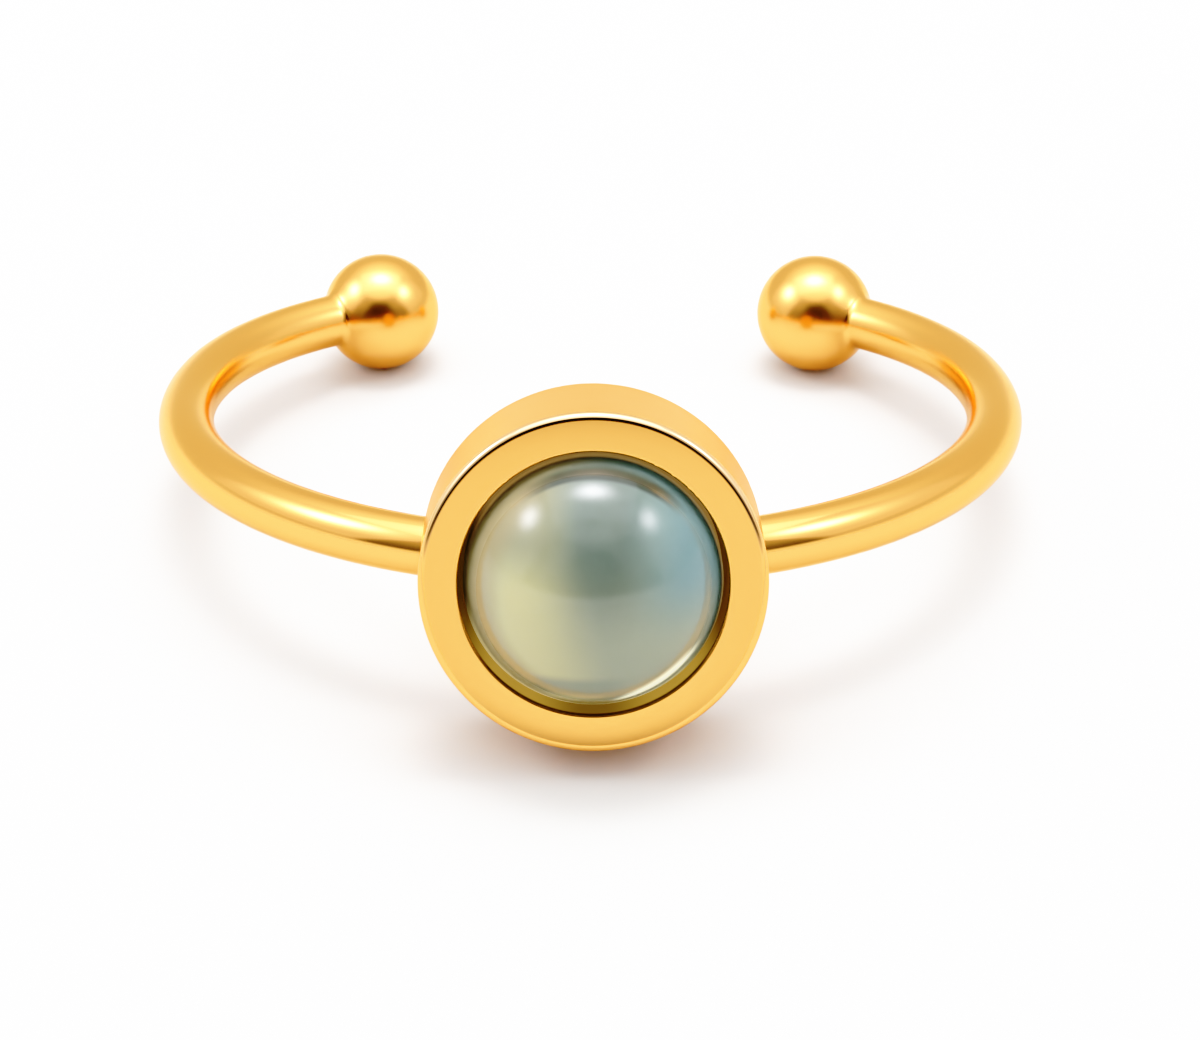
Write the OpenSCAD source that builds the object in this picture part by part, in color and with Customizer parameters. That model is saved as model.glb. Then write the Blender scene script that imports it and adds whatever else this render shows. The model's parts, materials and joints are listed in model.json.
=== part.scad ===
// Open finger ring of round polished wire, with a ball on each end and a round
// cabochon in a deep cup setting. It lies on its side, on the cup's back rim and
// the two balls. Millimetres, +Z up. The origin is on the surface it lies on,
// under the middle of the whole ring's box, and the stone looks towards -Y.

/* [Band] */
// Thickness of the round wire
wire_d = 1.2; // [1:0.05:1.5]
// Bend radius of the band's centreline, from the cup round to where the ends turn in
band_bend_r = 8.85; // [8:0.05:10]
// How far each arm turns at that radius, in degrees
arm_turn = 105; // [100:1:112]
// Tighter bend radius of the two ends
end_bend_r = 7; // [6.5:0.1:8]
// How far the right end turns at the tighter radius, in degrees
right_end_turn = 44.5; // [38:0.5:50]
// How far the left end turns at the tighter radius, in degrees
left_end_turn = 48.4; // [38:0.1:50]
// Diameter of the ball on each end
ball_d = 2.72; // [2.2:0.02:3.2]

/* [Cup] */
// Outer diameter of the cup
cup_d = 6.8; // [6.6:0.05:7.4]
// Depth of the cup, from its front face to its back
cup_depth = 2.75; // [2.6:0.05:3.2]
// Diameter of the opening that the stone stands in
opening_d = 5.25; // [5.2:0.01:5.5]
// Rounding of the cup's outer edges
rim_round = 0.13; // [0.05:0.01:0.15]
// Rounding of the edge of the opening
opening_round = 0.05; // [0.03:0.01:0.08]
// How far the cup's back stands proud of the wire, towards the finger
back_step = 0.18; // [0.1:0.02:0.3]
// Upward lean of the cup against the plane of the band, in degrees
cup_lean = 6.8; // [0:0.2:8]

/* [Stone] */
// Diameter of the round stone
stone_d = 5.05; // [4.9:0.01:5.1]
// Height of the dome above its foot
dome_h = 1.85; // [1.4:0.05:2.1]
// Height of the straight girdle under the dome
girdle_h = 0.8; // [0.5:0.05:0.85]
// Depth of the dome's foot below the cup's front face
foot_depth = 0.35; // [0.2:0.05:0.45]
// Clear gap under the stone, where its thin bed of glue is
seat_gap = 0.05; // [0.03:0.01:0.1]

/* [Hidden] */
$fn = 96;
gold = [0.98, 0.77, 0.38];
sea_green = [0.62, 0.70, 0.64];

wire_r = wire_d / 2;
ball_r = ball_d / 2;
cup_r = cup_d / 2;
opening_r = opening_d / 2;
stone_r = stone_d / 2;
cavity_depth = foot_depth + girdle_h + seat_gap;
dome_r = (stone_r * stone_r + dome_h * dome_h) / (2 * dome_h);

// The band bends round the vertical axis of its own frame, and the cup is at -Y.
front = -90;
arm_end = front + arm_turn;
bend_shift = band_bend_r - end_bend_r;
bend_centre = bend_shift * [cos(arm_end), sin(arm_end)];

// Middle of the ball on one side: side is 1 for the right and -1 for the left.
function ball_centre(side, turn) =
    let (a = arm_end + turn)
    [side * (bend_centre.x + end_bend_r * cos(a)), bend_centre.y + end_bend_r * sin(a)];

right_ball = ball_centre(1, right_end_turn);
left_ball = ball_centre(-1, left_end_turn);

// The line through the two balls is a little skew to the cup, and the ring tips
// about that line until the cup's back rim touches the surface too.
skew = atan2(right_ball.y - left_ball.y, right_ball.x - left_ball.x);
ball_reach = right_ball.y * cos(skew) - right_ball.x * sin(skew);

// Middle of the rounding at the lowest point of the cup's back rim, across and up.
back_from_wire = wire_r + back_step;
rim_across = -band_bend_r * cos(skew)
    + (back_from_wire - rim_round) * cos(cup_lean)
    - (cup_r - rim_round) * sin(cup_lean);
rim_up = -(back_from_wire - rim_round) * sin(cup_lean) - (cup_r - rim_round) * cos(cup_lean);
span = norm([ball_reach - rim_across, rim_up]);
rest_tip = atan2(-rim_up, ball_reach - rim_across) - asin((ball_r - rim_round) / span);
rest_lift = ball_r + ball_reach * sin(rest_tip);

// The box's front is the dome and its back is the ball that reaches furthest.
dome_from_wire = cup_depth - back_from_wire - foot_depth + dome_h - dome_r;
dome_centre = [
    0,
    -band_bend_r - dome_from_wire * cos(cup_lean),
    dome_from_wire * sin(cup_lean)
];
function turned(p, a) = [p.x * cos(a) - p.y * sin(a), p.x * sin(a) + p.y * cos(a), p.z];
function tipped(p, a) = [p.x, p.y * cos(a) - p.z * sin(a), p.y * sin(a) + p.z * cos(a)];
function laid(p) = turned(tipped(turned(p, -skew), -rest_tip), skew);
box_front = laid(dome_centre).y - dome_r;
box_back = max([for (p = [right_ball, left_ball]) laid([p.x, p.y, 0]).y]) + ball_r;
box_middle = (box_front + box_back) / 2;

// Points of a round of radius r about c, from angle a and over the given turn.
round_steps = 6;
function edge_round(c, r, a, turn = 90) =
    [for (i = [0:round_steps]) c + r * [cos(a + turn * i / round_steps), sin(a + turn * i / round_steps)]];

// Takes the ring from the band's frame to how it lies.
module at_rest() {
    translate([0, -box_middle, rest_lift])
        rotate([0, 0, skew]) rotate([-rest_tip, 0, 0]) rotate([0, 0, -skew])
            children();
}

// Cup frame: +Z looks out of the opening, and the back face is at zero.
module at_cup() {
    translate([0, -band_bend_r, 0])
        rotate([90 - cup_lean, 0, 0])
            translate([0, 0, -back_from_wire])
                children();
}

// One bend of the round wire, about the vertical axis, from angle a.
module wire_bend(r, a, turn) {
    rotate([0, 0, a])
        rotate_extrude(angle = turn)
            translate([r, 0]) circle(r = wire_r);
}

// The tighter bend at the end of an arm, on the right.
module turned_in_end(turn) {
    translate([bend_centre.x, bend_centre.y, 0])
        wire_bend(end_bend_r, arm_end, turn);
}

module end_ball(centre) {
    translate([centre.x, centre.y, 0]) sphere(r = ball_r);
}

// Solid of the cup with rounded outer edges, before it is hollowed.
module cup_blank() {
    low = [cup_r - rim_round, rim_round];
    high = [cup_r - rim_round, cup_depth - rim_round];
    rotate_extrude()
        polygon(concat(
            [[0, 0]],
            edge_round(low, rim_round, -90),
            edge_round(high, rim_round, 0),
            [[0, cup_depth]]
        ));
}

// What is cut out of the cup: a plain round seat whose mouth is eased.
module cup_hollow() {
    lip = [opening_r + opening_round, cup_depth - opening_round];
    above = cup_depth + rim_round;
    rotate_extrude()
        polygon(concat(
            [[0, cup_depth - cavity_depth], [opening_r, cup_depth - cavity_depth]],
            edge_round(lip, opening_round, 180, -90),
            [[lip.x, above], [0, above]]
        ));
}

// Wire band, ball ends and cup are soldered into one piece of metal.
module band_and_cup() {
    color(gold)
        at_rest()
            difference() {
                union() {
                    wire_bend(band_bend_r, front - arm_turn, 2 * arm_turn);
                    turned_in_end(right_end_turn);
                    mirror([1, 0, 0]) turned_in_end(left_end_turn);
                    end_ball(right_ball);
                    end_ball(left_ball);
                    at_cup() cup_blank();
                }
                at_cup() cup_hollow();
            }
}

// Round cabochon: a low dome on a short straight girdle, flat underneath.
module stone() {
    foot_z = cup_depth - foot_depth;
    color(sea_green)
        at_rest() at_cup()
            intersection() {
                translate([0, 0, foot_z - girdle_h]) cylinder(r = stone_r, h = girdle_h + dome_h);
                translate([0, 0, foot_z + dome_h - dome_r]) sphere(r = dome_r);
            }
}

band_and_cup();
stone();
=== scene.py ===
# %% [markdown]
# # An open gold ring with a round sea-green cabochon
#
# This lesson dresses one finger ring. Its metal is a single soldered piece: a round wire bent into
# an open band, a ball on each end of the wire, and a deep cup at the front. A domed stone stands in
# the cup. The construction model gives every place and size, and the modelling here gives the
# mirror-smooth surfaces, the solder joints, the finishes and the studio.
#
# We start by loading that construction model. Nothing in it is moved or reshaped.

import json
import math

import bmesh
import bpy
from mathutils import Euler, Matrix, Vector


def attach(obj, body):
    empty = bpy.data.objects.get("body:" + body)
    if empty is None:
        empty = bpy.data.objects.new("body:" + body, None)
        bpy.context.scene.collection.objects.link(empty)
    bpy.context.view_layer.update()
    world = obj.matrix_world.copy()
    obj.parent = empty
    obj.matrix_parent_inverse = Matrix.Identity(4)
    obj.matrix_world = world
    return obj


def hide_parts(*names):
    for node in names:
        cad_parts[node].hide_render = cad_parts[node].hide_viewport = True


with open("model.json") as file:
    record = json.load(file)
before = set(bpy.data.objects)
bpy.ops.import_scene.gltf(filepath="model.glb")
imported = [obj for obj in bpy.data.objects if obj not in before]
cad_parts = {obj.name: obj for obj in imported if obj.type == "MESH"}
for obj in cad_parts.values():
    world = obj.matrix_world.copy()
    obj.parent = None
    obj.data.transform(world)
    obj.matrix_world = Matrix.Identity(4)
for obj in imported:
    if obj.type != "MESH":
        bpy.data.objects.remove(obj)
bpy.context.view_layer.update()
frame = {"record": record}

# %% [markdown]
# A jeweller thinks in millimetres and Blender in metres, so sizes below are written as 1.2 * MM.
# The model's record names two mounts that fix where everything goes. The mount called finger lies
# on the axis of the band, with the radius of the hole and the thickness of the wire. The mount
# called cup_back is the middle of the cup's flat back. Reading them keeps this script in step with
# the construction, and only the sizes that no mount holds are written out here.

# %% Sizes and places of the ring
MM = 0.001
mounts = {mount["name"]: mount for mount in frame["record"]["mounts"]}
finger = mounts["finger"]
cup_back = mounts["cup_back"]

wire_radius = finger["dims"]["length_mm"] / 2 * MM
bend_radius = finger["dims"]["r_mm"] * MM + wire_radius
arm_turn = 105.0
end_bend_radius = 7.0 * MM
right_end_turn = 44.5
left_end_turn = 48.4
ball_radius = 1.36 * MM

cup_radius = 3.4 * MM
cup_depth = 2.75 * MM
opening_radius = 2.625 * MM
seat_depth = 1.2 * MM
rim_round = 0.13 * MM
opening_round = 0.05 * MM

stone_radius = 2.525 * MM
dome_height = 1.85 * MM
girdle_height = 0.8 * MM
foot_depth = 0.35 * MM
print("wire", 2 * wire_radius / MM, "mm, bend radius", bend_radius / MM, "mm")

# %% [markdown]
# The ring lies on its side and leans a little, because the cup is thicker than the wire. It is far
# easier to model a flat band and a cup that points straight up, and to lay them down when they are
# done. So we need two placings. The band's comes from its axis: the axis tips back by a few degrees
# about a line that is slightly skew. The cup's comes from the direction its back faces.

# %% Where a flat band and an upright cup go
def turn_about(axis, degrees):
    return Matrix.Rotation(math.radians(degrees), 4, axis)


band_axis = Vector(finger["axis"]).normalized()
skew = math.degrees(math.atan2(-band_axis.x, band_axis.y))
tip = math.degrees(math.acos(band_axis.z))
lay_band = (
    Matrix.Translation(finger["pos_m"])
    @ turn_about("Z", skew)
    @ turn_about("X", -tip)
    @ turn_about("Z", -skew)
)

stone_side = -Vector(cup_back["axis"]).normalized()
across = (lay_band.to_3x3() @ Vector((1, 0, 0))).normalized()
above = stone_side.cross(across).normalized()
lay_cup = Matrix.Translation(cup_back["pos_m"]) @ Matrix((across, above, stone_side)).transposed().to_4x4()
print("band tips back", round(tip, 2), "degrees, skew", round(skew, 2), "degrees")

# %% [markdown]
# Every step below uses Blender's own operators, as a person would at the screen. An operator works
# on whatever is selected, so two small helpers keep that tidy: one makes an object the only
# selected one, and the other selects the parts of its mesh that pass a test, in edit mode.

# %% Helpers for selecting and finishing
def only(piece):
    """Makes this the one selected and active object, in object mode."""
    if bpy.context.object and bpy.context.object.mode != "OBJECT":
        bpy.ops.object.mode_set(mode="OBJECT")
    bpy.ops.object.select_all(action="DESELECT")
    piece.select_set(True)
    bpy.context.view_layer.objects.active = piece


def edit(piece, kind, test):
    """Enters edit mode with only the vertices, edges or faces selected that pass the test."""
    only(piece)
    bpy.ops.object.mode_set(mode="EDIT")
    bpy.ops.mesh.select_mode(type=kind)
    bpy.ops.mesh.select_all(action="DESELECT")
    mesh = bmesh.from_edit_mesh(piece.data)
    group = {"VERT": mesh.verts, "EDGE": mesh.edges, "FACE": mesh.faces}[kind]
    for part in group:
        if test(part):
            part.select_set(True)
    mesh.select_flush_mode()
    bmesh.update_edit_mesh(piece.data)


def leave_edit():
    """Goes back to object mode."""
    bpy.ops.object.mode_set(mode="OBJECT")


def place(piece, matrix):
    """Puts the mesh where the matrix says and leaves the object itself at the origin."""
    only(piece)
    piece.matrix_world = matrix @ piece.matrix_world
    bpy.ops.object.transform_apply(location=True, rotation=True, scale=True)


def triangles(piece):
    """How many triangles the piece has."""
    piece.data.calc_loop_triangles()
    return len(piece.data.loop_triangles)


print("units: one millimetre is", MM, "of Blender's metres")

# %% [markdown]
# ## The wire
#
# On the bench the band is one length of round wire, bent round a mandrel. Its cross-section never
# changes, which is what the spin operator gives: it sweeps a circle round an axis. A curve with a
# round bevel would do as well, but a spin gives exact arcs with even rings of faces, and a mirror
# finish shows every uneven face. The circle starts at the end of the left arm. It is swept once
# through both arms, and then each end is swept on round the centre of its own tighter bend.
#
# Each end stops a little short of its ball, where the solder joint will begin.

# %% Sweep the wire
WIRE_SIDES = 64
STEPS_PER_DEGREE = 1.0
FRONT = -90.0
MERGE_DISTANCE = 0.001 * MM
joint_reach = 1.46 * MM


def on_circle(centre, radius, degrees):
    """A point of a circle that lies flat, counted anticlockwise from +X."""
    angle = math.radians(degrees)
    return centre + radius * Vector((math.cos(angle), math.sin(angle), 0))


arm_end = FRONT + arm_turn
right_bend_centre = on_circle(Vector(), bend_radius - end_bend_radius, arm_end)
left_bend_centre = Vector((-right_bend_centre.x, right_bend_centre.y, 0))
right_ball = on_circle(right_bend_centre, end_bend_radius, arm_end + right_end_turn)
left_ball = on_circle(left_bend_centre, end_bend_radius, 180 - arm_end - left_end_turn)
joint_turn = math.degrees(joint_reach / end_bend_radius)


def sweep(centre, degrees):
    """Spins the selected circle on, anticlockwise from above. The operator itself turns clockwise."""
    bpy.ops.mesh.spin(
        steps=max(2, round(abs(degrees) * STEPS_PER_DEGREE)),
        angle=math.radians(-degrees),
        center=centre,
        axis=(0, 0, 1),
    )


start = on_circle(Vector(), bend_radius, FRONT - arm_turn)
bpy.ops.object.select_all(action="DESELECT")
bpy.ops.mesh.primitive_circle_add(
    vertices=WIRE_SIDES,
    radius=wire_radius,
    location=start,
    rotation=(math.radians(90), 0, math.radians(FRONT - arm_turn)),
)
wire = bpy.context.object
wire.name = "wire"
place(wire, Matrix())
edit(wire, "VERT", lambda vert: True)
sweep(Vector(), 2 * arm_turn)
sweep(right_bend_centre, right_end_turn - joint_turn)
leave_edit()

# The first circle is left behind at the start, and the left end grows from it.
edit(wire, "VERT", lambda vert: (vert.co - start).length < 1.01 * wire_radius)
sweep(left_bend_centre, joint_turn - left_end_turn)
bpy.ops.mesh.select_all(action="SELECT")
bpy.ops.mesh.remove_doubles(threshold=MERGE_DISTANCE)
bpy.ops.mesh.normals_make_consistent(inside=False)
leave_edit()
print("wire:", triangles(wire), "triangles")

# %% [markdown]
# ## The balls and their solder joints
#
# A round bead is soldered on each wire end, and the solder leaves a small hollow curve all round
# the joint. Pushing a sphere over the wire would give the bead but a hard crease. Instead each
# sphere has one pole turned towards the wire, the cap round that pole is opened, and the opening
# is bridged to the wire's last ring. Bridging with surface interpolation makes the hollow curve,
# because it leaves both edges in the direction of the faces next to them.

# %% Add the balls and bridge them to the wire
BALL_RINGS = 60
OPEN_CAP = 33.5
BRIDGE_CUTS = 8


def last_ring_middle(centre, bend_centre, side):
    """Middle of the wire's last ring before a ball."""
    arm = centre - bend_centre
    return bend_centre + turn_about("Z", -side * joint_turn).to_3x3() @ arm


def add_ball(centre, bend_centre, side):
    """A sphere whose open cap faces the wire, bridged to it."""
    ring_middle = last_ring_middle(centre, bend_centre, side)
    towards_wire = (ring_middle - centre).normalized()
    only(wire)
    bpy.ops.object.select_all(action="DESELECT")
    bpy.ops.mesh.primitive_uv_sphere_add(
        segments=WIRE_SIDES,
        ring_count=BALL_RINGS,
        radius=ball_radius,
        location=centre,
        rotation=towards_wire.to_track_quat("Z", "Y").to_euler(),
    )
    ball = bpy.context.object
    place(ball, Matrix())
    cap_height = ball_radius * math.cos(math.radians(OPEN_CAP))
    edit(ball, "VERT", lambda vert: (vert.co - centre).dot(towards_wire) > cap_height)
    bpy.ops.mesh.delete(type="VERT")
    leave_edit()
    only(wire)
    ball.select_set(True)
    bpy.ops.object.join()

    # Both open edges of this joint lie nearer to the ball's middle than any other open edge.
    near = 1.3 * (ring_middle - centre).length
    edit(wire, "EDGE", lambda edge: edge.is_boundary and (edge.verts[0].co - centre).length < near)
    bpy.ops.mesh.bridge_edge_loops(number_cuts=BRIDGE_CUTS, interpolation="SURFACE", smoothness=1.0)
    leave_edit()


add_ball(right_ball, right_bend_centre, 1)
add_ball(left_ball, left_bend_centre, -1)
edit(wire, "FACE", lambda face: True)
bpy.ops.mesh.normals_make_consistent(inside=False)
leave_edit()
print("wire and balls:", triangles(wire), "triangles")

# %% [markdown]
# ## The cup
#
# The cup is a short thick drum turned on a lathe: a flat front with a round seat cut into it, and a
# flat closed back. A cylinder with many sides is the right start, as the rim is polished and must
# look round. The front face is inset by the thickness of the wall and the middle is pushed in. A
# turned edge is never knife-sharp, so the outer edges and the mouth of the seat are bevelled. The
# bevels are hardly wider than a tenth of a millimetre, but they draw the bright and dark lines
# round the rim.

# %% Turn the cup
CUP_SIDES = 256
RIM_SEGMENTS = 6

bpy.ops.object.select_all(action="DESELECT")
bpy.ops.mesh.primitive_cylinder_add(
    vertices=CUP_SIDES,
    radius=cup_radius,
    depth=cup_depth,
    location=(0, 0, cup_depth / 2),
)
cup = bpy.context.object
cup.name = "cup"
place(cup, Matrix())
edit(cup, "FACE", lambda face: face.normal.z > 0.9)
bpy.ops.mesh.inset(thickness=cup_radius - opening_radius)
bpy.ops.mesh.extrude_region_move(TRANSFORM_OT_translate={"value": (0, 0, -seat_depth)})
leave_edit()


def round_ring(piece, radius, heights, amount, segments):
    """Bevels the edges that lie on a circle of this radius at one of these heights."""
    slack = 0.01 * MM

    def lies_there(edge):
        return all(
            abs(vert.co.xy.length - radius) < slack
            and any(abs(vert.co.z - height) < slack for height in heights)
            for vert in edge.verts
        ) and abs(edge.verts[0].co.z - edge.verts[1].co.z) < slack

    edit(piece, "EDGE", lies_there)
    bpy.ops.mesh.bevel(offset=amount, segments=segments, profile=0.5)
    leave_edit()


round_ring(cup, cup_radius, (0, cup_depth), rim_round, RIM_SEGMENTS)
round_ring(cup, opening_radius, (cup_depth,), opening_round, RIM_SEGMENTS // 2)
print("cup:", triangles(cup), "triangles")

# %% [markdown]
# Smooth shading blends the direction of neighbouring faces, so the flat rim would seem to curl
# towards its bevels, and a mirror shows that at once. A very narrow inset beside each bevel keeps
# the blend inside that strip. We give one to the rim, the back and both round walls.

# %% Keep the flat and straight parts true
STRIP = 0.02 * MM


def add_strip(test):
    """Insets the cup's faces that pass the test by the width of the strip."""
    edit(cup, "FACE", test)
    bpy.ops.mesh.inset(thickness=STRIP)
    leave_edit()


def is_wall(face, radius):
    """Whether the face is upright and at this distance from the cup's axis."""
    middle = face.calc_center_median()
    return abs(face.normal.z) < 0.001 and abs(middle.xy.length - radius) < 0.01 * MM


add_strip(lambda face: face.normal.z > 0.999 and face.calc_center_median().z > 0.9 * cup_depth)
add_strip(lambda face: face.normal.z < -0.999)
add_strip(lambda face: is_wall(face, cup_radius))
add_strip(lambda face: is_wall(face, opening_radius))
print("cup with strips:", triangles(cup), "triangles")

# %% [markdown]
# ## One piece of gold
#
# Wire and cup are soldered and plated together, so they become one closed mesh. A Boolean union
# removes the stretch of wire that would run inside the cup. Shading by angle keeps the crease where
# the wire meets the cup crisp, and weighted normals keep the flat rim flat up to its bevels, so the
# rim reflects like a plane mirror.

# %% Lay the parts down and fuse them
SMOOTH_UP_TO = 30


def last_touch(piece):
    """Smooth shading up to an angle, with the flat faces kept flat."""
    only(piece)
    bpy.ops.object.shade_smooth_by_angle(angle=math.radians(SMOOTH_UP_TO))
    weigh = piece.modifiers.new("flat faces stay flat", "WEIGHTED_NORMAL")
    weigh.keep_sharp = True
    bpy.ops.object.modifier_apply(modifier=weigh.name)


place(wire, lay_band)
place(cup, lay_cup)
only(wire)
fuse = wire.modifiers.new("solder", "BOOLEAN")
fuse.operation = "UNION"
fuse.solver = "EXACT"
fuse.object = cup
bpy.ops.object.modifier_apply(modifier=fuse.name)
bpy.data.objects.remove(cup)
gold_ring = wire
gold_ring.name = "gold_ring"
last_touch(gold_ring)
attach(gold_ring, "root")
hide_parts("band_and_cup")
print("gold ring:", triangles(gold_ring), "triangles")

# %% [markdown]
# ## The stone
#
# A cabochon is ground as a dome on a short straight girdle and polished only above it. The dome is
# part of a sphere much larger than the stone is high. So we add that sphere, bisect it at the
# dome's foot, and extrude the cut edge down for the girdle. The bottom is filled and its edge is
# eased a little, as a cutter does so that it doesn't chip.

# %% Grind the cabochon
STONE_SIDES = 160
eased_edge = 0.1 * MM
dome_radius = (stone_radius**2 + dome_height**2) / (2 * dome_height)
dome_foot = cup_depth - foot_depth

bpy.ops.object.select_all(action="DESELECT")
bpy.ops.mesh.primitive_uv_sphere_add(
    segments=STONE_SIDES,
    ring_count=STONE_SIDES // 2,
    radius=dome_radius,
    location=(0, 0, dome_foot + dome_height - dome_radius),
)
stone = bpy.context.object
stone.name = "cabochon"
place(stone, Matrix())
edit(stone, "VERT", lambda vert: True)
bpy.ops.mesh.bisect(
    plane_co=(0, 0, dome_foot),
    plane_no=(0, 0, 1),
    clear_inner=True,
    threshold=0.1 * MERGE_DISTANCE,
)
leave_edit()
edit(stone, "EDGE", lambda edge: edge.is_boundary)
bpy.ops.mesh.extrude_region_move(TRANSFORM_OT_translate={"value": (0, 0, -girdle_height)})
bpy.ops.mesh.edge_face_add()
bpy.ops.mesh.select_all(action="SELECT")
bpy.ops.mesh.normals_make_consistent(inside=False)
leave_edit()
round_ring(stone, stone_radius, (dome_foot - girdle_height,), eased_edge, 2)
place(stone, lay_cup)
last_touch(stone)
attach(stone, "root")
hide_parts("stone")
print("stone:", triangles(stone), "triangles")

# %% [markdown]
# ## Writing materials as sums
#
# A procedural material is a small calculation for each point of a surface. Wired up by hand it is
# a net of Math nodes, and hard to read. The class below wraps one output socket, so that an
# expression such as 1 - mask * 2 adds the Math nodes for us. Every other node comes from the one
# method called node, which takes its type, its settings and what goes into its sockets.

# %% A socket that can be calculated with
class Value:
    """An output socket of a node tree. Arithmetic on it adds Math nodes."""

    def __init__(self, tree, socket=None):
        self.tree = tree
        self.socket = socket

    def node(self, kind, settings=None, inputs=None, output=0):
        """Adds a node, sets it up, links or fills its sockets, and wraps one of its outputs."""
        made = self.tree.nodes.new(kind)
        for name, setting in (settings or {}).items():
            setattr(made, name, setting)
        for name, given in (inputs or {}).items():
            if isinstance(given, Value):
                self.tree.links.new(given.socket, made.inputs[name])
            else:
                made.inputs[name].default_value = given
        return Value(self.tree, made.outputs[output])

    def __add__(self, other):
        return maths("ADD", self, other)

    def __sub__(self, other):
        return maths("SUBTRACT", self, other)

    def __mul__(self, other):
        return maths("MULTIPLY", self, other)

    def __truediv__(self, other):
        return maths("DIVIDE", self, other)

    def __pow__(self, other):
        return maths("POWER", self, other)

    def __radd__(self, other):
        return maths("ADD", other, self)

    def __rsub__(self, other):
        return maths("SUBTRACT", other, self)

    def __rmul__(self, other):
        return maths("MULTIPLY", other, self)

    def __neg__(self):
        return maths("MULTIPLY", self, -1.0)

    def rise(self, low, high):
        """0 below low, 1 above high, and a soft step between. Low may be the larger one."""
        return self.node(
            "ShaderNodeMapRange",
            {"interpolation_type": "SMOOTHSTEP"},
            {"Value": self, "From Min": low, "From Max": high},
        )

    def mix(self, first, second):
        """The first colour where this is 0, and the second where it is 1."""
        given = {"Factor": self, 6: first, 7: second}
        return self.node("ShaderNodeMix", {"data_type": "RGBA"}, given, output=2)

    def parts(self):
        """The three parts of a vector."""
        split = self.node("ShaderNodeSeparateXYZ", inputs={0: self})
        sockets = split.socket.node.outputs
        return [Value(self.tree, socket) for socket in sockets]


def maths(operation, *given):
    """A Math node on values and plain numbers, such as maths("MAXIMUM", mask, 0.5)."""
    first_value = next(part for part in given if isinstance(part, Value))
    return first_value.node("ShaderNodeMath", {"operation": operation}, dict(enumerate(given)))


def new_material(name):
    """An empty node material, its output node, and a Value to start from."""
    material = bpy.data.materials.new(name)
    material.use_nodes = True
    material.node_tree.nodes.clear()
    end = material.node_tree.nodes.new("ShaderNodeOutputMaterial")
    return material, end, Value(material.node_tree)


def finish_material(material, end, shader, piece):
    """Links the shader to the output and makes this the one material of the piece."""
    material.node_tree.links.new(shader.socket, end.inputs["Surface"])
    piece.data.materials.clear()
    piece.data.materials.append(material)


print("materials so far:", len(bpy.data.materials))

# %% [markdown]
# ## Finding a place on the cup
#
# Both finishes differ from place to place: satin here, a glow there. Each such place is a mask, a
# number that is 1 there and 0 elsewhere. Painting masks by hand would need an image, but on a
# turned part they follow from where a point lies. They are simplest in the cup's own frame, in
# millimetres from the middle of its back. A Mapping node of the type Texture undoes the placing
# that the cup was laid down with.

# %% Helpers for masks
# How wide the soft border of a mask is, in millimetres.
SOFT = 0.02


def in_cup_frame(point):
    """The point in millimetres from the middle of the cup's back, with Z out of the opening."""
    placing = {
        "Vector": point,
        "Location": lay_cup.translation,
        "Rotation": lay_cup.to_euler(),
        "Scale": (MM, MM, MM),
    }
    return point.node("ShaderNodeMapping", {"vector_type": "TEXTURE"}, placing)


def distance(across, up):
    return (across * across + up * up) ** 0.5


def between(value, low, high):
    """1 from low to high and 0 outside, with soft edges just inside the two."""
    return value.rise(low, low + SOFT) * value.rise(high, high - SOFT)


def close_to(value, level):
    """1 at this level, and 0 a hundredth of a millimetre away from it."""
    return value.rise(level - 0.01, level - 0.002) * value.rise(level + 0.01, level + 0.002)


def speckle(point, scale, detail):
    """A soft random pattern between 0 and 1. The scale is in spots for each metre."""
    return point.node("ShaderNodeTexNoise", inputs={"Vector": point, "Scale": scale, "Detail": detail})


wall = cup_radius / MM
depth = cup_depth / MM
mouth = (opening_radius + opening_round) / MM
bevel = rim_round / MM
seat_floor = (cup_depth - seat_depth) / MM
print("flat rim from", round(mouth, 3), "to", round(wall - bevel, 3), "mm from the cup's axis")

# %% [markdown]
# ## Polished gold
#
# The ring is plated with rich yellow gold and polished to a mirror, so nearly all of its look is
# what it reflects. Its own colour is what a white light looks like in it. A polish is never
# perfect. The whole ring was tumbled and its front was buffed after that, so the wire is brightest
# next to the cup and a little softer towards the balls. The cup's flat rim and wall keep a fine
# satin from the lathe. So Roughness has a mask for each, and very weak bumps follow the marks that
# the tools left.
#
# Hand polishing also leaves the flat rim very slightly dished. Towards its outer edge it faces
# inwards by a few degrees, most of all at its foot. One smooth bump does that. It is far too low to
# change the outline, but it decides where the rim stops mirroring the bright floor. The upper bevel
# is painted paler, a painted highlight that makes the bright line it mirrors whiter. The seat was
# never polished, so it is rough, and its colour is painted dark as painted shade in that recess.
# Some of the light that enters the stone comes out against it, and a weak glow stands for that.

# %% Masks of the cup
# The dish grows with the square of the way out from the mouth and with the way down from a height.
HAND_POLISH = 0.0125
DISHED_UP_TO = 2.2


def cup_masks(y, z, reach):
    """Masks for the flat rim, the round wall, the outer bevel at the front, and the seat."""
    rim = between(reach, mouth, wall - bevel) * close_to(z, depth)
    side = close_to(reach, wall) * between(z, bevel, depth - bevel)
    edge = reach.rise(wall - bevel, wall - bevel + SOFT) * z.rise(depth - bevel, depth - bevel + SOFT)
    below_lip = maths("MAXIMUM", z.rise(depth - 0.02, depth - 0.05), y.rise(-1.0, -1.7))
    seat = reach.rise(mouth, mouth - SOFT) * z.rise(seat_floor - 0.35, seat_floor - 0.15) * below_lip
    return rim, side, edge, seat


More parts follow.
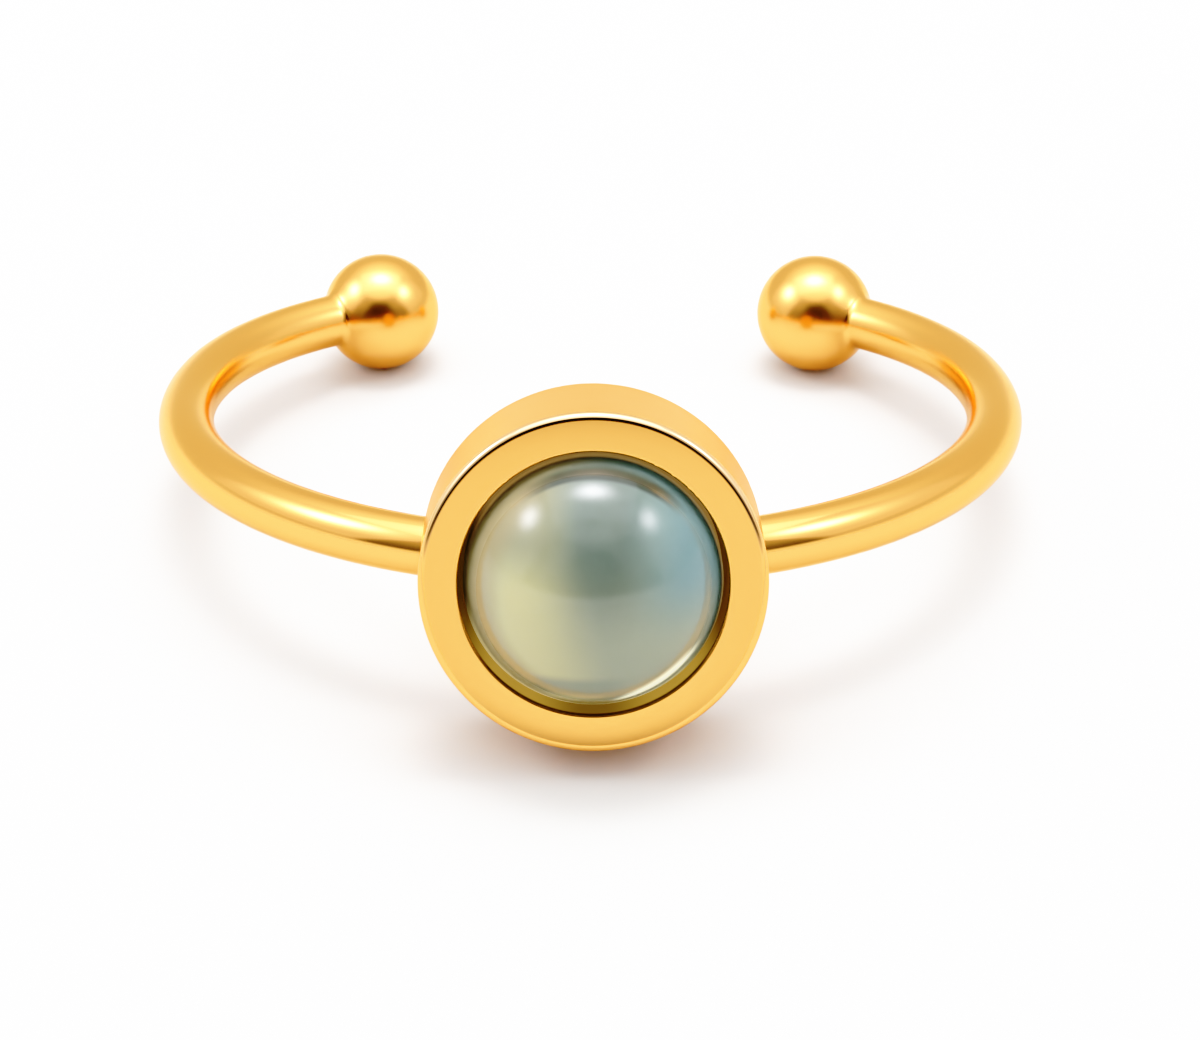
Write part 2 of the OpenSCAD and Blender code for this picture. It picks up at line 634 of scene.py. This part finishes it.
def rim_dish(y, reach):
    """How far the rim stands up from a true plane, from nothing at its mouth to its outer edge."""
    from_mouth = maths("MAXIMUM", reach, mouth)
    outwards = maths("MINIMUM", from_mouth, wall) - mouth
    return outwards * outwards * (DISHED_UP_TO - y) * HAND_POLISH


def seat_light(x, y, z, seat):
    """How much light from the stone falls on the seat. Most of it is low down, at both sides."""
    low = y.rise(-0.8, -1.9)
    aside = maths("ABSOLUTE", x)
    light = 0.18 + low * (aside.rise(0.2, 1.3) * 0.47 + 0.17)
    return light * seat * z.rise(depth - 0.03, depth - 0.12)


print("rim dished by at most", round((wall - mouth) ** 2 * (DISHED_UP_TO + wall) * HAND_POLISH, 3), "mm")

# %% [markdown]
# The gold itself is one Principled shader. Its Specular Tint is the colour of the reflection at a
# grazing angle, where gold turns paler, and Roughness starts from the bright polish and has the
# difference to each other finish added where that finish is.

# %% Make the gold
GOLD = (0.93, 0.455, 0.13, 1)
GOLD_EDGE = (1.0, 0.87, 0.64, 1)
# A paler gold for the painted highlight on the upper bevel.
HIGHLIGHT_GOLD = (1.0, 0.65, 0.34, 1)
# A dark colour for painted shade in the seat behind the stone.
SEAT_SHADE = (0.2, 0.12, 0.03, 1)
SEAT_GLOW = (0.44, 0.29, 0.09, 1)
NO_GLOW = (0, 0, 0, 1)

BRIGHT = 0.12
BEVEL_BRIGHT = 0.07
TUMBLED = 0.235
SATIN = 0.38
FINE_SATIN = 0.16
ROUGH_SEAT = 0.6
UNEVEN = 0.04
GRAIN_DEPTH = 0.0001
buffed_up_to = -7 * MM
tumbled_from = -1 * MM


def polished_gold():
    material, end, start = new_material("polished gold")
    point = start.node("ShaderNodeTexCoord", output="Object")
    x, y, z = in_cup_frame(point).parts()
    reach = distance(x, y)
    rim, side, edge, seat = cup_masks(y, z, reach)
    cloud = speckle(point, 500.0, 2.0)
    grain = speckle(point, 12000.0, 2.0)

    roughness = BRIGHT + rim * (FINE_SATIN - BRIGHT) + side * (SATIN - BRIGHT)
    roughness = roughness + edge * (BEVEL_BRIGHT - BRIGHT) + seat * (ROUGH_SEAT - BRIGHT)
    back = point.parts()[1].rise(buffed_up_to, tumbled_from)
    roughness = roughness + back * (TUMBLED - BRIGHT)
    height = grain * (rim + side) * GRAIN_DEPTH + rim_dish(y, reach)
    bump = point.node("ShaderNodeBump", inputs={"Strength": 1.0, "Distance": MM, "Height": height})
    # Painted highlight: the upper bevel is painted paler, so the bright line it mirrors turns whiter.
    painted_highlight = edge * y.rise(0.3, 2.0)
    shader = point.node(
        "ShaderNodeBsdfPrincipled",
        inputs={
            # The seat is painted dark as painted shade, and the upper bevel paler as a painted highlight.
            "Base Color": seat.mix(painted_highlight.mix(GOLD, HIGHLIGHT_GOLD), SEAT_SHADE),
            "Metallic": 1.0,
            "Roughness": roughness + (cloud - 0.5) * UNEVEN,
            "Specular Tint": GOLD_EDGE,
            "Normal": bump,
            "Emission Color": seat_light(x, y, z, seat).mix(NO_GLOW, SEAT_GLOW),
            "Emission Strength": 1.0,
        },
    )
    finish_material(material, end, shader, gold_ring)


polished_gold()
print("gold ring material:", gold_ring.data.materials[0].name)

# %% [markdown]
# ## The sea-green stone
#
# The stone is milky, so light enters it, scatters and comes out somewhere else. Subsurface
# scattering does that. Its colour isn't even: cooler blue at the right and a deep grey-green heart a
# little above the middle. On top of that, a warm pale glow at the left is painted light, for light
# that has passed through it, and a darker band low on the dome is painted shade. Each is a soft mask
# in the cup's frame, divided by the stone's radius, so the rim of the stone is at 1. The order of the
# layers matters, as each one covers the ones before it. Near the top edge the colour is painted
# shade. Towards the edge it is painted tan at the left and brown at its foot for the gold that shows
# through it, and a ring right at the edge is painted shade beside the cup, tan-brown at the left and
# teal at the right.

# %% Colours of the dome
HAZE = (0.275, 0.294, 0.214, 1)
HEART = (0.123, 0.156, 0.131, 1)
COOL = (0.147, 0.237, 0.247, 1)
OLIVE = (0.228, 0.228, 0.142, 1)
# Painted light: the warm pale glow at the left.
PAINTED_GLOW = (0.456, 0.427, 0.233, 1)
# Painted shade: the darker band low on the dome.
LOW_SHADE = (0.209, 0.237, 0.18, 1)
TOP_SHADE = (0.038, 0.052, 0.033, 1)
# Painted colour for the gold that shows through the stone at the left.
TAN = (0.294, 0.252, 0.142, 1)
# Painted shade in a ring at the very edge of the stone, beside the cup.
LEFT_EDGE_SHADE = (0.209, 0.18, 0.104, 1)
RIGHT_EDGE_SHADE = (0.123, 0.19, 0.18, 1)
# Painted colour for the gold that shows through the stone at its foot.
GOLD_SEEN_AT_FOOT = (0.26, 0.18, 0.055, 1)


def in_layers(colour, layers):
    """Lays each colour over the ones before it, where its mask is 1."""
    for mask, tint in layers:
        colour = mask.mix(colour, tint)
    return colour


def dome_colour(u, v, reach, drift):
    """The dome's colour at u to the right and v up. Drift makes two of the borders cloudy."""
    heart = distance(u - 0.1, (v - 0.6) * 0.7 + drift).rise(0.7, 0.15)
    blue_side = u.rise(0.15, 0.75) * v.rise(-0.45, 0.2)
    upper_left = u.rise(-0.1, -0.45) * v.rise(0.1, 0.5)
    slant = u + v * 0.25 + drift
    # Painted light: a warm pale glow at the left, for light that has passed through the stone.
    glow_side = slant.rise(0.05, -0.6) * u.rise(-1.05, -0.6) * v.rise(0.5, 0.0)
    # Painted shade: a darker band low on the dome.
    low_shade = v.rise(-0.6, -0.7) * v.rise(-0.88, -0.78) * u.rise(-0.65, -0.4) * u.rise(0.35, 0.05)
    top = reach.rise(0.85, 0.875) * reach.rise(0.96, 0.91) * v.rise(0.55, 0.8)
    # Painted tan at the left, for the gold that shows through the stone.
    gold_seen_left = reach.rise(0.68, 0.86) * u.rise(-0.25, -0.6)
    # Painted shade in a ring at the very edge, tan-brown at the left and teal at the right.
    edge_shade = u.rise(-0.4, 0.4).mix(LEFT_EDGE_SHADE, RIGHT_EDGE_SHADE)
    layers = (
        (heart, HEART),
        (blue_side, COOL),
        (upper_left, OLIVE),
        (glow_side, PAINTED_GLOW),
        (low_shade * 0.8, LOW_SHADE),
        (top, TOP_SHADE),
        (gold_seen_left * 0.8, TAN),
        (reach.rise(0.925, 0.965) * 0.85, edge_shade),
        # Painted brown at the foot, for the gold that shows through the stone.
        (v.rise(-0.88, -0.93) * 0.8, GOLD_SEEN_AT_FOOT),
    )
    return in_layers(HAZE, layers)


print("dome stands", round((dome_foot + dome_height - cup_depth) / MM, 2), "mm above the rim")

# %% [markdown]
# Light that has crossed a dome is gathered into bright lines where it leaves: a crescent at the
# lower right and a thin line round the girdle. Emission stands for both, as following that light
# through the stone would take a render many times longer. The outermost edge is rougher than the
# dome, as a cutter often leaves it less polished.

# %% Make the stone's finish
# The girdle's dark colour is painted shade, as it stands deep in the seat.
GIRDLE = (0.1, 0.1, 0.06, 1)
GIRDLE_GLOW = (0.5, 0.5, 0.2, 1)
EDGE_GLOW = (0.36, 0.31, 0.16, 1)
LINE_GLOW = (0.24, 0.15, 0.07, 1)
CRESCENT_GLOW = (0.9, 0.86, 0.6, 1)

CLOUDINESS = 0.12
POLISHED_DOME = 0.03
ROUGHER_EDGE = 0.35
REFRACTIVE_INDEX = 1.57
scatter_depth = 0.3 * MM


def stone_glow(u, v, reach, under):
    """The light that leaves the stone, from its girdle up to the crescent on the dome."""
    aside = maths("ABSOLUTE", u)
    girdle = under * v.rise(-0.2, -0.6) * (0.25 + aside.rise(0.0, 0.6) * 0.75)
    low = (v + u * 0.2).rise(-0.3, -0.65) * (0.5 + aside.rise(0.05, 0.3) * 0.5)
    thin_line = reach.rise(0.98, 0.993) * u.rise(-0.98, -0.75) * (1 - low)
    lower_right = (u * 1.1 - v * 1.55) * 0.53
    crescent = reach.rise(0.82, 0.88) * reach.rise(0.94, 0.9) * lower_right.rise(0.8, 0.885)
    layers = (
        (girdle, GIRDLE_GLOW),
        (reach.rise(0.945, 0.975) * low, EDGE_GLOW),
        (thin_line, LINE_GLOW),
        (crescent, CRESCENT_GLOW),
    )
    return in_layers(NO_GLOW, layers)


def milky_stone():
    material, end, start = new_material("milky sea-green stone")
    point = start.node("ShaderNodeTexCoord", output="Object")
    x, y, z = in_cup_frame(point).parts()
    u = x / (stone_radius / MM)
    v = y / (stone_radius / MM)
    reach = distance(u, v)
    drift = (speckle(point, 450.0, 3.0) - 0.5) * CLOUDINESS
    under = z.rise(dome_foot / MM + SOFT, dome_foot / MM - SOFT)
    shader = start.node(
        "ShaderNodeBsdfPrincipled",
        inputs={
            # Below the dome's foot the stone is painted dark, as painted shade in the seat.
            "Base Color": under.mix(dome_colour(u, v, reach, drift), GIRDLE),
            "Roughness": POLISHED_DOME + reach.rise(0.87, 0.91) * ROUGHER_EDGE,
            "IOR": REFRACTIVE_INDEX,
            "Subsurface Weight": 1.0,
            "Subsurface Radius": (1.0, 1.0, 0.9),
            "Subsurface Scale": scatter_depth,
            "Emission Color": stone_glow(u, v, reach, under),
            "Emission Strength": 1.0,
        },
    )
    finish_material(material, end, shader, stone)


milky_stone()
print("stone material:", stone.data.materials[0].name)

# %% [markdown]
# ## The studio
#
# Jewellery is photographed in a white light tent, because a mirror shows whatever is round it. The
# floor is a white sheet. The tent's walls are plain and pale, and the front has a dark opening for
# the camera, without which gold looks flat. Three soft boxes shine in, from above and from both
# sides. Each has a lamp behind its cloth, so its middle is much brighter than its edge.

# %% Floor
FLOOR_SIZE = 0.36
FLOOR_WHITE = 0.6


def grey(level):
    return (level, level, level, 1)


bpy.ops.object.select_all(action="DESELECT")
bpy.ops.mesh.primitive_plane_add(size=FLOOR_SIZE)
floor = bpy.context.object
floor.name = "floor"


def white_sheet():
    material, end, start = new_material("white sheet")
    shader = start.node("ShaderNodeBsdfDiffuse", inputs={"Color": grey(FLOOR_WHITE)})
    finish_material(material, end, shader, floor)


white_sheet()
print("floor:", round(FLOOR_SIZE / MM), "mm square")

# %% [markdown]
# Each soft box is a plain square, scaled to its size and turned to face the ring. Its pattern is
# measured from the middle of the square, so it goes with the panel. The camera doesn't see the
# boxes, but the gold and the stone mirror them.
#
# Its light has three parts: the even light of the cloth, a wide glow round the lamp, and the
# lamp's small bright core. The sixth power of the glow leaves only its middle, which is the core.

# %% Soft boxes
BOX_DISTANCE = 200 * MM
GLOW_REACH = 0.5
# What the gold and the stone mirror is a little bluer than the light that falls on the floor.
MIRRORED_LIGHT = (1.0, 1.0, 1.06)


def soft_box(name, facing, half_size, lamp_at, stretch, cloth, glow, core):
    """A glowing panel at an azimuth and elevation. Sizes are tangents of the angles that it spans."""
    azimuth, elevation = facing
    half_width, half_height = half_size
    turn = Euler((math.radians(90 - elevation), 0, math.radians(azimuth))).to_matrix().to_4x4()
    bpy.ops.object.select_all(action="DESELECT")
    bpy.ops.mesh.primitive_plane_add(size=2)
    panel = bpy.context.object
    panel.name = name
    size = Matrix.Diagonal((half_width * BOX_DISTANCE, half_height * BOX_DISTANCE, 1, 1))
    panel.matrix_world = turn @ Matrix.Translation((0, 0, BOX_DISTANCE)) @ size

    material, end, start = new_material(name)
    x, y = start.node("ShaderNodeTexCoord", output="Object").parts()[:2]
    right = x * half_width - lamp_at[0]
    up = y * half_height - lamp_at[1]
    lamp = distance(right / stretch, up).rise(GLOW_REACH, 0.0)
    strength = cloth + lamp * glow + lamp**6.0 * core
    mirrored = start.node("ShaderNodeLightPath", output="Is Glossy Ray")
    tinted = [strength * (1 + mirrored * (part - 1)) for part in MIRRORED_LIGHT]
    colour = start.node("ShaderNodeCombineColor", inputs=dict(enumerate(tinted)))
    shader = start.node("ShaderNodeEmission", inputs={"Color": colour})
    finish_material(material, end, shader, panel)
    panel.visible_camera = False


soft_box(
    "soft box above",
    facing=(0, 94),
    half_size=(0.62, 0.42),
    lamp_at=(0.0, 0.05),
    stretch=1.6,
    cloth=2.6,
    glow=1.0,
    core=18.0,
)
soft_box(
    "soft box right",
    facing=(90, 37),
    half_size=(0.53, 0.42),
    lamp_at=(-0.1, 0.19),
    stretch=1.2,
    cloth=1.2,
    glow=1.1,
    core=9.0,
)
soft_box(
    "soft box left",
    facing=(-89, 34),
    half_size=(0.53, 0.42),
    lamp_at=(-0.03, 0.16),
    stretch=1.2,
    cloth=1.2,
    glow=1.8,
    core=12.0,
)

# %% [markdown]
# Two lamps shine through the cloth. The stronger one is high up at the back, and its wide soft beam
# draws the shadow under the cup towards us. The weaker one fills that shadow from the front. Both
# are hidden from the mirrors, because in the real tent the cloth hides them.

# %% Lamps behind the cloth
def soft_lamp(name, strength, spread, tilt, lean):
    """A far lamp that lights the floor and the stone but doesn't show in the metal."""
    light = bpy.data.lights.new(name, "SUN")
    light.energy = strength
    light.angle = math.radians(spread)
    lamp = bpy.data.objects.new(name, light)
    lamp.rotation_euler = (math.radians(tilt), math.radians(lean), 0)
    lamp.visible_glossy = False
    bpy.context.scene.collection.objects.link(lamp)


soft_lamp("lamp behind the tent", strength=1.38, spread=50, tilt=-30, lean=6)
soft_lamp("fill lamp", strength=1.12, spread=40, tilt=52, lean=0)

# %% [markdown]
# The rest of the tent is far away, so it can be the world's own light, which depends on direction
# alone. The cloth is brighter towards the top, where the lamps are. The opening is a rectangle in
# the front wall, darkest in the middle where the camera stands. A camera ray that misses the floor
# sees plain white instead, so other views have a plain background.

# %% Tent
TENT = 0.95
TENT_TOP = 1.9
FAR_FLOOR = 1.55
OPENING_EDGE = 0.5
OPENING_MIDDLE = 0.035
BACKDROP = 2.0


def opening(aside, height):
    """A mask for the opening and how bright the room behind it is, both from angles in degrees."""
    half_width = 66 - height * 0.2
    mask = (aside - half_width).rise(0.0, -5.0) * height.rise(4.0, 9.0) * height.rise(56.0, 47.0)
    across = aside / (40 - height * 0.45)
    upright = (height - 25) / 19
    from_middle = (across * across) ** 2.0 + (upright * upright) ** 2.0
    side = OPENING_EDGE * (0.3 + height.rise(5.0, 40.0))
    return mask, OPENING_MIDDLE + from_middle.rise(0.4, 2.2) * (side - OPENING_MIDDLE)


def tent():
    """The world's light. Aside is counted from the front, and height up from the floor."""
    world = bpy.data.worlds.new("light tent")
    world.use_nodes = True
    world.node_tree.nodes.clear()
    bpy.context.scene.world = world
    end = world.node_tree.nodes.new("ShaderNodeOutputWorld")
    start = Value(world.node_tree)
    x, y, z = start.node("ShaderNodeTexCoord", output="Generated").parts()
    degree = math.radians(1)
    aside = maths("ABSOLUTE", maths("ARCTAN2", x, -y) / degree)
    height = maths("ARCSINE", z) / degree

    in_opening, room = opening(aside, height)
    level = TENT + height.rise(26.0, 62.0) * (TENT_TOP - TENT)
    level = level + in_opening * (room - level)
    level = level + height.rise(4.0, 2.0) * (FAR_FLOOR - level)
    colour = start.node("ShaderNodeCombineColor", inputs={0: level, 1: level, 2: level})
    seen = start.node("ShaderNodeLightPath", output="Is Camera Ray")
    back = start.node("ShaderNodeBackground", inputs={"Color": seen.mix(colour, grey(BACKDROP))})
    world.node_tree.links.new(back.socket, end.inputs["Surface"])


tent()
print("world:", bpy.context.scene.world.name)

# %% [markdown]
# ## The camera
#
# The camera looks down on the ring from the front, close enough for the front of the band to look
# larger than the back.

# %% Camera
VIEW_ELEVATION = 29.336
VIEW_AZIMUTH = -0.385
VIEW_ROLL = -0.164
VIEW_DISTANCE = 75.19 * MM
LENS = 111.05
aim = Vector((0.158, -4.647, 3.185)) * MM

view_turn = Euler((math.radians(90 - VIEW_ELEVATION), 0, math.radians(VIEW_AZIMUTH))).to_matrix()
camera_data = bpy.data.cameras.new("camera")
camera_data.lens = LENS
camera_data.clip_start = 1 * MM
camera = bpy.data.objects.new("camera", camera_data)
camera.matrix_world = (
    Matrix.Translation(aim + view_turn @ Vector((0, 0, VIEW_DISTANCE)))
    @ view_turn.to_4x4()
    @ turn_about("Z", VIEW_ROLL)
)
bpy.context.scene.collection.objects.link(camera)
bpy.context.scene.camera = camera
print("camera:", [round(part / MM, 1) for part in camera.matrix_world.translation], "mm")

# %% [markdown]
# A photograph keeps a trace of colour in its brightest parts, because film and sensors give way
# gently to white. The Standard view clips each channel instead, which turns bright gold to lemon.
# So a curve goes before it. It is nearly straight in the middle tones, bends over gently towards
# white, and presses the very darkest tones down a little, as a print does.

# %% Film response
WHITE_POINT = 2.0
FILM = (
    (0.0, 0.0),
    (0.025, 0.009),
    (0.06, 0.078),
    (0.1, 0.175),
    (0.2, 0.385),
    (0.3, 0.575),
    (0.4, 0.725),
    (0.5, 0.84),
    (0.6, 0.93),
    (0.7, 0.98),
    (0.8, 0.992),
    (1.0, 1.0),
)

view = bpy.context.scene.view_settings
view.view_transform = "Standard"
view.use_curve_mapping = True
curves = view.curve_mapping
curves.white_level = (WHITE_POINT, WHITE_POINT, WHITE_POINT)
together = curves.curves[3]
while len(together.points) < len(FILM):
    together.points.new(0.5, 0.5)
for point, place_on_curve in zip(together.points, FILM):
    point.location = place_on_curve
curves.update()
print("film response:", len(together.points), "points")
